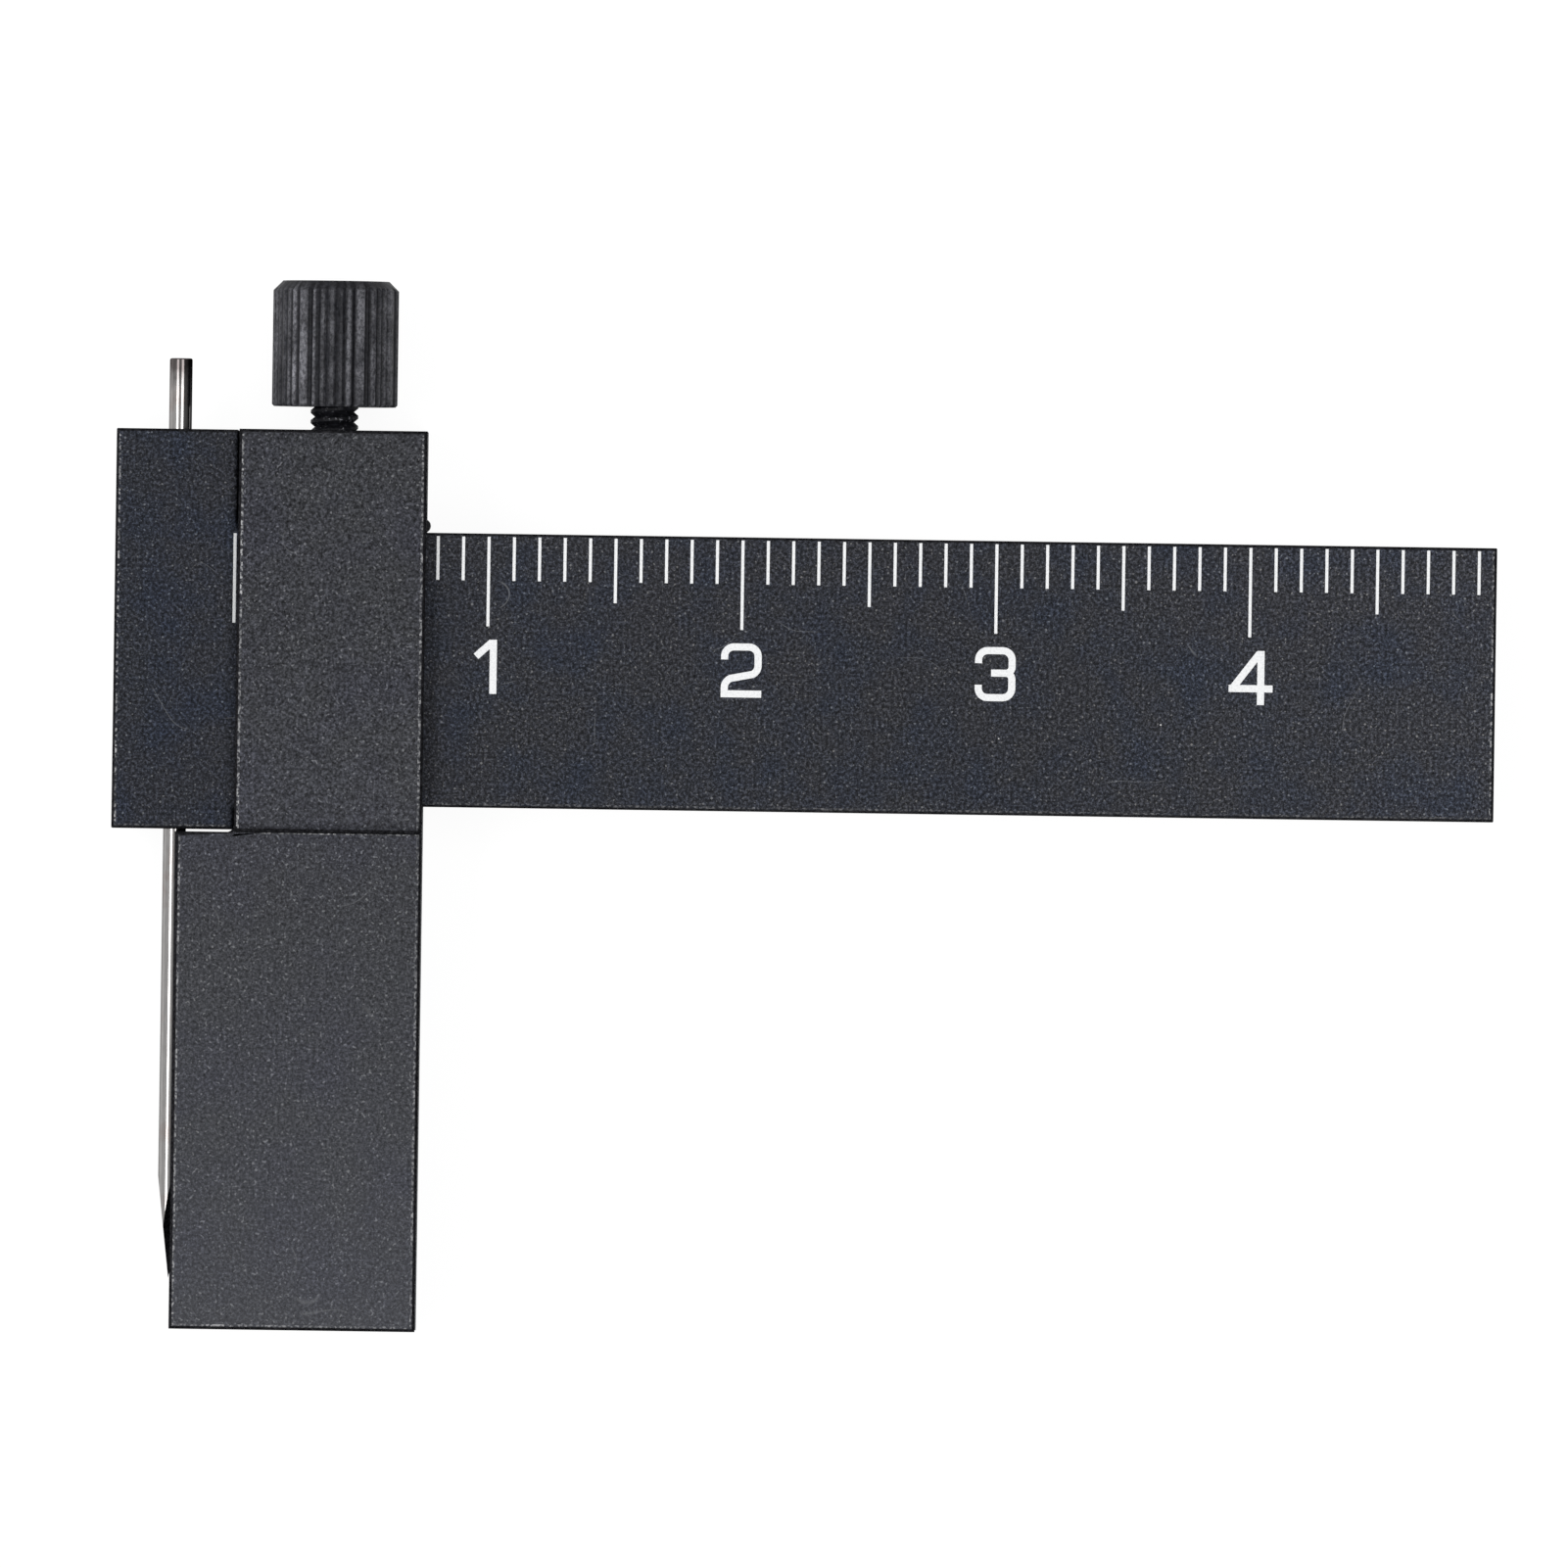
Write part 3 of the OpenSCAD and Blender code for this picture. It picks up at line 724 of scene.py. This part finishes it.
def makeNeedle():
    n = needleShape
    middle = at(n["x"], n["top"] - n["length"] / 2, n["z"])
    tip = at(n["x"], n["top"] - n["length"], n["z"])
    bm = bmesh.new()
    bmesh.ops.create_cone(bm, cap_ends=True, segments=n["steps"], radius1=n["radius"] * mm,
                          radius2=n["radius"] * mm, depth=n["length"] * mm)
    turned = Matrix.Rotation(math.radians(-90), 4, "X")
    bmesh.ops.transform(bm, matrix=Matrix.Translation(middle) @ turned, verts=bm.verts)
    tail = [e for e in bm.edges if all(v.co.y > middle.y for v in e.verts)]
    roundEdges(bm, tail, n["tailEase"], n["tailSteps"])
    slope = math.atan2(n["radius"], n["tipLength"])
    for turn in n["facets"]:
        a = math.radians(turn)
        outward = Vector((math.cos(a) * math.cos(slope), -math.sin(slope), math.sin(a) * math.cos(slope)))
        bmesh.ops.bisect_plane(bm, geom=bm.verts[:] + bm.edges[:] + bm.faces[:], dist=cutSlack, plane_co=tip,
                               plane_no=outward, clear_outer=True)
        bmesh.ops.holes_fill(bm, edges=[e for e in bm.edges if e.is_boundary], sides=0)
    bmesh.ops.remove_doubles(bm, verts=bm.verts, dist=same)
    bmesh.ops.recalc_face_normals(bm, faces=bm.faces)
    evenShading(newPiece("scriberNeedle", bm, [steel], "needle", ["scriber_needle"],
                         n["smoothUnder"]))


makeNeedle()
print("needle made")

screwShape = {
    "x": 3.82, "z": 3.0,
    "tip": 1.92, "knobStart": 4.92,
    "crest": 0.94, "root": 0.77, "pitch": 0.4, "flank": 0.36, "threadSteps": 48, "threadWearAndGlint": 0.7,
    "knobRadius": 2.475, "knobHeight": 4.95,
    # the knurl on the graduated side: the middle of a groove in degrees from upright, then for the ridge
    # after it how much wear and painted highlight it gets, the width of that line as a share, and its
    # shift to the right
    "knurl": ((-74, 0.20, 1.0, 0.0), (-66, 0.10, 1.0, 0.0), (-58.5, 0.11, 1.0, 0.0),
              (-51, 0.23, 0.9, 0.1), (-44.8, 0.38, 0.6, 0.0), (-37, 0.29, 0.85, -0.15),
              (-23.4, 0.27, 0.45, 0.1), (-16.3, 0.12, 0.6, 0.2), (-7.2, 0.12, 0.9, -0.1),
              (1.8, 0.05, 0.9, 0.0), (9.5, 0.28, 0.5, -0.3), (19.0, 0.32, 0.9, 0.0),
              (30.8, 0.0, 1.0, 0.0), (34.2, 0.22, 0.7, -0.05), (43.6, 0.07, 0.9, 0.0),
              (50.3, 0.18, 0.9, 0.0), (57.5, 0.25, 0.8, -0.3), (71.5, 0.0, 1.0, 0.0)),
    "shallow": (0.35, 0.3, 0.35, 0.2),    # the grooves at the far left, as a share of the depth
    # the nearly even grooves behind, and the spans that their places, wear and highlight are drawn from
    "otherPitch": 8.2, "otherSeed": 7, "otherPlace": (0.96, 1.04),
    "otherWear": (0.08, 0.34), "otherWidth": (0.4, 1.0), "otherShift": (-0.2, 0.2),
    "grooveDepth": 0.115, "depths": (0.8, 1.1),       # mm, and the span of shares that it is drawn from
    "grooveHalf": 2.7, "grooveRise": 1.7,      # half width in degrees, power of the flank
    "ridgePaintedLight": 0.02, "lineEdge": 3, "toneEdge": 4,      # powers: how sharply the wear-and-highlight line and the ridge's painted light end
    "onTop": (0.5, 0.12),      # share of the wear and highlight at the foot and the head of the chamfer
    "steps": 540, "rings": 6,
    "topEase": 0.38, "topRings": 4, "underEase": 0.08,
    "intoKnob": 0.2,      # mm that the thread runs on inside the knob
    "endOver": 0.9,       # the knob's end is where a normal points this much along the axis
    "threadSlot": 1, "endSlot": 2,
    "smoothUnder": 28, "angleSlack": 1e-9,      # degrees
}

# Black oxide on steel: wear mixed with painted highlights and glints on the crests of the knurl and the
# thread, turned rings on the knob's end
oxideLook = {
    "colour": (0.0095, 0.0099, 0.0125), "contrast": (0.4, 2.2),
    "grainSize": 7000, "specks": (0.32, 0.5, 0.72),
    "wornAndLit": (0.39, 0.39, 0.43),
    "wearSize": 8500, "wearStretch": (1.0, 0.7, 1.0),
    "longSize": 1500, "longStretch": (1.0, 0.6, 1.0), "longSpan": (0.35, 0.65), "longWear": (0.5, 1.4),
    "ridges": ((0.38, 0.68), (0.3, 1.6)),      # noise from and to, then wear and painted highlight from and to
    "threads": ((0.60, 0.66), (0.0, 1.1)),
    "glossSize": 2200, "glossSpan": (0.3, 0.7), "roughness": (0.42, 0.6),
    "specular": 0.12, "turnedSpecular": 0.35,
    "relief": 0.6, "reliefHeight": 9e-6,
    "ringSize": 1150, "ringWander": 0.6, "ringShare": 0.6, "ringTone": 3.2, "ringHeight": 1.6e-5,
}


def turningMarks(tree, coords):
    node = tree.nodes.new("ShaderNodeTexWave")
    node.wave_type, node.rings_direction = "RINGS", "Y"
    node.inputs["Scale"].default_value = oxideLook["ringSize"]
    node.inputs["Distortion"].default_value = oxideLook["ringWander"]
    node.inputs["Detail"].default_value = 2.0
    place = tree.nodes.new("ShaderNodeMapping")
    place.inputs["Location"].default_value = -at(screwShape["x"], 0, screwShape["z"])
    tree.links.new(coords, place.inputs["Vector"])
    tree.links.new(place.outputs["Vector"], node.inputs["Vector"])
    return node.outputs["Fac"]


def wornAndLitOxide(tree, coords, tone, span, levels):    # the mesh carries how much wear and painted highlight each crest gets
    look = oxideLook
    wearAndHighlight = tree.nodes.new("ShaderNodeAttribute")
    wearAndHighlight.attribute_name = "wearAndHighlight"
    alongWear, alongStretch = (stretched(tree, coords, look[k]) for k in ("wearStretch", "longStretch"))
    broken = patches(tree, alongWear, look["wearSize"], 3.1, span, levels, roughness=0.8)
    stretches = patches(tree, alongStretch, look["longSize"], 4.7, look["longSpan"], look["longWear"])
    share = combine(tree, "MULTIPLY", combine(tree, "MULTIPLY", wearAndHighlight.outputs["Fac"], broken), stretches)
    return mixColours(tree, "MIX", share, tone, look["wornAndLit"])


def blackOxide(name, wornAndLit=None, turned=False):
    look = oxideLook
    material, tree, shader = newMaterial(name)
    coords = objectCoords(tree)
    fine = grain(tree, coords, look["grainSize"], 2.0, 0.6, 8.8)
    tone = ramp(tree, fine, list(zip(look["specks"], shadesOf(look["colour"], *look["contrast"]))))
    height, heightScale, specular = fine, look["reliefHeight"], look["specular"]
    if wornAndLit:
        tone = wornAndLitOxide(tree, coords, tone, *wornAndLit)
    if turned:
        height, heightScale, specular = turningMarks(tree, coords), look["ringHeight"], look["turnedSpecular"]
        bright = tuple(c * look["ringTone"] for c in look["colour"])
        tone = mixColours(tree, "MIX", combine(tree, "MULTIPLY", height, look["ringShare"]), tone, bright)
    tree.links.new(tone, shader.inputs["Base Color"])
    rough = patches(tree, coords, look["glossSize"], 9.9, look["glossSpan"], look["roughness"])
    tree.links.new(rough, shader.inputs["Roughness"])
    shader.inputs["Specular IOR Level"].default_value = specular
    bump(tree, height, look["relief"], heightScale, shader)
    return material


oxide = blackOxide("blackOxide")
ridgeOxide = blackOxide("ridgeOxide", oxideLook["ridges"])
threadOxide = blackOxide("threadOxide", oxideLook["threads"])
turnedOxide = blackOxide("turnedOxide", turned=True)


def knurlLayout():
    s = screwShape
    chance = random.Random(s["otherSeed"])
    grooves, ridges = [k[0] for k in s["knurl"]], [k[1:] for k in s["knurl"]]
    first = grooves[0]
    unseen = 360 + first - grooves[-1]
    count = round(unseen / s["otherPitch"])
    step = unseen / count
    for i in range(1, count):
        if i < count - 1:
            grooves.append(grooves[-1] + step * chance.uniform(*s["otherPlace"]))
        else:
            grooves.append(360 + first - step)
        ridges.append([chance.uniform(*s[k]) for k in ("otherWear", "otherWidth", "otherShift")])
    depths = [s["grooveDepth"] * chance.uniform(*s["depths"]) for _ in grooves]
    for i, share in enumerate(s["shallow"], 1):
        depths[i] *= share
    return grooves, ridges, depths


def dip(depth, distance):    # how deep a groove is at some degrees from its middle
    share = abs(distance) / screwShape["grooveHalf"]
    return depth * (1 - share ** screwShape["grooveRise"]) if share < 1 else 0


def knurledAt(angle, layout):    # radius in mm and wear at an angle from upright
    s = screwShape
    grooves, ridges, depths = layout
    first = grooves[0]
    degrees = (math.degrees(angle) - first) % 360 + first
    i = max(k for k, g in enumerate(grooves) if g <= degrees + s["angleSlack"])
    after = grooves[i + 1] if i + 1 < len(grooves) else first + 360
    nextDepth = depths[(i + 1) % len(depths)]
    half = (after - grooves[i]) / 2
    off = (degrees - grooves[i] - half) / half
    wornAndLit, width, shift = ridges[i]
    line = max(0.0, 1 - abs((off - shift) / width) ** s["lineEdge"])
    lowered = max(dip(depths[i], degrees - grooves[i]), dip(nextDepth, after - degrees))
    # the ridges are painted lighter towards their middles, so the grooves between them read as painted shade
    return s["knobRadius"] - lowered, wornAndLit * line + s["ridgePaintedLight"] * (1 - off ** s["toneEdge"])


def knobLevels(knobY, topY):    # height, largest radius and share of the wear, from the underside up
    s = screwShape
    straight = s["knobHeight"] - s["topEase"] - s["underEase"]
    levels = [(knobY + (s["underEase"] + straight * i / s["rings"]) * mm, s["knobRadius"], 1.0)
              for i in range(s["rings"] + 1)]
    foot, head = s["onTop"]
    for i in range(1, s["topRings"] + 1):
        up = i / s["topRings"]
        levels.append((topY - s["topEase"] * (1 - up) * mm, s["knobRadius"] - s["topEase"] * up,
                       foot + (head - foot) * up))
    return levels


def windThread(bm, wearAndHighlight, centre, start, end):
    s = screwShape      # one turn's flank and crest, wound up the shank
    crest, root, pitch = (s[k] * mm for k in ("crest", "root", "pitch"))
    flank = pitch * s["flank"]
    profile = [(root, 0), (crest, flank), (crest, pitch - flank), (root, pitch)]
    points = [bm.verts.new((centre.x + r, start - pitch + y, centre.z)) for r, y in profile]
    lines = [bm.edges.new((a, b)) for a, b in zip(points, points[1:])]
    turns = math.ceil((end - start) / pitch) + 2
    before = set(bm.faces)
    bmesh.ops.spin(bm, geom=points + lines, cent=centre, axis=(0, 1, 0),
                   dvec=(0, pitch / s["threadSteps"], 0), angle=2 * math.pi * turns,
                   steps=turns * s["threadSteps"], use_duplicate=False)

    def threadFaces():
        return [f for f in bm.faces if f not in before]

    bmesh.ops.remove_doubles(bm, verts=vertsOf(threadFaces()), dist=2 * same)
    for y, side in ((start, -1), (end, 1)):
        made = bmesh.ops.bisect_plane(bm, geom=geomOf(threadFaces()), dist=cutSlack, plane_co=(0, y, 0),
                                      plane_no=(0, side, 0), clear_outer=True)
        bmesh.ops.holes_fill(bm, edges=edgesIn(made["geom_cut"]), sides=0)
    thread = threadFaces()
    for v in vertsOf(thread):
        outward = math.hypot(v.co.x - centre.x, v.co.z - centre.z)
        # the thread's crests get wear mixed with painted glints
        v[wearAndHighlight] = s["threadWearAndGlint"] if outward > (crest + root) / 2 else 0.0
    return thread


def makeScrew():
    s = screwShape
    centre = at(s["x"], 0, s["z"])
    knobY, topY = at(0, s["knobStart"], 0).y, at(0, s["knobStart"] + s["knobHeight"], 0).y
    layout = knurlLayout()
    bm = bmesh.new()
    wearAndHighlight = bm.verts.layers.float.new("wearAndHighlight")
    bmesh.ops.create_circle(bm, cap_ends=True, segments=s["steps"], radius=s["knobRadius"] * mm)
    turned = Matrix.Rotation(math.radians(90), 4, "X")
    bmesh.ops.transform(bm, matrix=Matrix.Translation((centre.x, knobY, centre.z)) @ turned, verts=bm.verts)

    def setRing(verts, y, most, share=1.0):
        for v in verts:
            angle = math.atan2(v.co.x - centre.x, v.co.z - centre.z)
            radius, wornAndLit = knurledAt(angle, layout)
            radius = min(radius, most) * mm
            v.co = Vector((centre.x + radius * math.sin(angle), y, centre.z + radius * math.cos(angle)))
            v[wearAndHighlight] = wornAndLit * share

    setRing(bm.verts, knobY, s["knobRadius"] - s["underEase"])
    edges = bm.edges[:]
    for y, most, share in knobLevels(knobY, topY):
        made = bmesh.ops.extrude_edge_only(bm, edges=edges)
        setRing(vertsIn(made["geom"]), y, most, share)
        edges = [e for e in edgesIn(made["geom"]) if e.is_boundary]
    bmesh.ops.edgeloop_fill(bm, edges=edges)
    thread = windThread(bm, wearAndHighlight, centre, at(0, s["tip"], 0).y, knobY + s["intoKnob"] * mm)
    bmesh.ops.recalc_face_normals(bm, faces=bm.faces)
    for face in thread:
        face.material_index = s["threadSlot"]
    for face in bm.faces:
        if face.normal.y > s["endOver"] and face.calc_center_median().y > topY - same:
            face.material_index = s["endSlot"]
    newPiece("clampScrew", bm, [ridgeOxide, threadOxide, turnedOxide], "thumb_screw",
             ["clamp_screw"], s["smoothUnder"])


makeScrew()
print("clamp screw made")

for name in ("clamp_gib", "needle_set_screw"):    # these keep their CAD shape
    node = nodes[name]
    node.data.materials.clear()
    node.data.materials.append(oxide)

# The floor is white to the camera and to reflections, and grey to the light that it gives back
floorLook = {"size": 3.0, "below": 0.02, "colour": grey(0.38), "shadowed": grey(0.12), "glow": 0.93}


def diffuse(tree, colour):
    node = tree.nodes.new("ShaderNodeBsdfDiffuse")
    feed(tree, node.inputs["Color"], colour)
    return node.outputs[0]


def floorMaterial():
    material = bpy.data.materials.new("floorWhite")
    material.use_nodes = True
    tree = material.node_tree
    tree.nodes.clear()
    output = tree.nodes.new("ShaderNodeOutputMaterial")
    plain, shadowed = diffuse(tree, floorLook["colour"]), diffuse(tree, floorLook["shadowed"])
    glow = tree.nodes.new("ShaderNodeEmission")
    glow.inputs["Strength"].default_value = floorLook["glow"]
    both = tree.nodes.new("ShaderNodeAddShader")
    tree.links.new(shadowed, both.inputs[0])
    tree.links.new(glow.outputs[0], both.inputs[1])
    path = tree.nodes.new("ShaderNodeLightPath")
    seen = combine(tree, "MAXIMUM", path.outputs["Is Glossy Ray"], path.outputs["Is Transmission Ray"])
    seen = combine(tree, "MAXIMUM", path.outputs["Is Camera Ray"], seen)
    mix = tree.nodes.new("ShaderNodeMixShader")
    tree.links.new(seen, mix.inputs["Fac"])
    tree.links.new(plain, mix.inputs[1])
    tree.links.new(both.outputs[0], mix.inputs[2])
    tree.links.new(mix.outputs[0], output.inputs["Surface"])
    return material


def makeFloor():
    bm = bmesh.new()
    bmesh.ops.create_grid(bm, x_segments=1, y_segments=1, size=floorLook["size"] / 2)
    mesh = bpy.data.meshes.new("floor")
    bm.to_mesh(mesh)
    bm.free()
    mesh.materials.append(floorMaterial())
    floor = bpy.data.objects.new("floor", mesh)
    floor.location.z = -floorLook["below"] * mm
    bpy.context.scene.collection.objects.link(floor)


# The room is pale on the left, dim on the right and towards the ends of the tool
roomLook = {
    "leftToRight": [(0.0, grey(0.8)), (0.25, grey(0.85)), (0.45, grey(0.7)), (0.62, grey(0.4)),
                    (0.72, grey(0.2)), (1.0, grey(0.08))],
    "endsSpan": (0.1, 0.9), "atEnds": 0.42,
    "strength": 1.0,
}


def makeWorld():
    world = bpy.data.worlds.new("studio")
    bpy.context.scene.world = world
    world.use_nodes = True
    tree = world.node_tree
    tree.nodes.clear()
    output = tree.nodes.new("ShaderNodeOutputWorld")
    room = tree.nodes.new("ShaderNodeBackground")
    axes = splitAxes(tree, tree.nodes.new("ShaderNodeTexCoord").outputs["Generated"])
    lean = combine(tree, "ARCTAN2", axes["X"], axes["Z"])
    across = mapRange(tree, lean, -math.pi / 2, math.pi / 2, 0.0, 1.0)
    tone = ramp(tree, across, roomLook["leftToRight"])
    toEnd = combine(tree, "ABSOLUTE", axes["Y"], 0.0)
    ends = mapRange(tree, toEnd, *roomLook["endsSpan"], 1.0, roomLook["atEnds"])
    tree.links.new(mixColours(tree, "MULTIPLY", 1.0, tone, ends), room.inputs["Color"])
    room.inputs["Strength"].default_value = roomLook["strength"]
    white = tree.nodes.new("ShaderNodeBackground")
    feed(tree, white.inputs["Color"], grey(1))
    path = tree.nodes.new("ShaderNodeLightPath")
    mix = tree.nodes.new("ShaderNodeMixShader")
    tree.links.new(path.outputs["Is Camera Ray"], mix.inputs["Fac"])
    tree.links.new(room.outputs[0], mix.inputs[1])
    tree.links.new(white.outputs[0], mix.inputs[2])
    tree.links.new(mix.outputs[0], output.inputs["Surface"])


# Two long softboxes overhead, each between two angles from upright across the tool
lampLook = {
    "distance": 0.5, "halfLength": 0.2,      # metres
    "strips": (("leftStrip", (-43, -23), 0.90), ("rightStrip", (4, 27), 1.10)),      # name, degrees, watts
}


def stripLight(name, span, power):
    start, end = (math.radians(a) for a in span)
    lean, distance = (start + end) / 2, lampLook["distance"]
    data = bpy.data.lights.new(name, "AREA")
    data.shape = "RECTANGLE"
    data.size = 2 * distance * math.tan((end - start) / 2)
    data.size_y = 2 * lampLook["halfLength"]
    data.energy = power
    lamp = bpy.data.objects.new(name, data)
    lamp.location = (distance * math.sin(lean), 0, distance * math.cos(lean))
    lamp.rotation_euler = (0, lean, 0)
    bpy.context.scene.collection.objects.link(lamp)


makeFloor()
makeWorld()
for strip in lampLook["strips"]:
    stripLight(*strip)
print("floor and light made")

bpy.context.scene.view_settings.view_transform = "Standard"
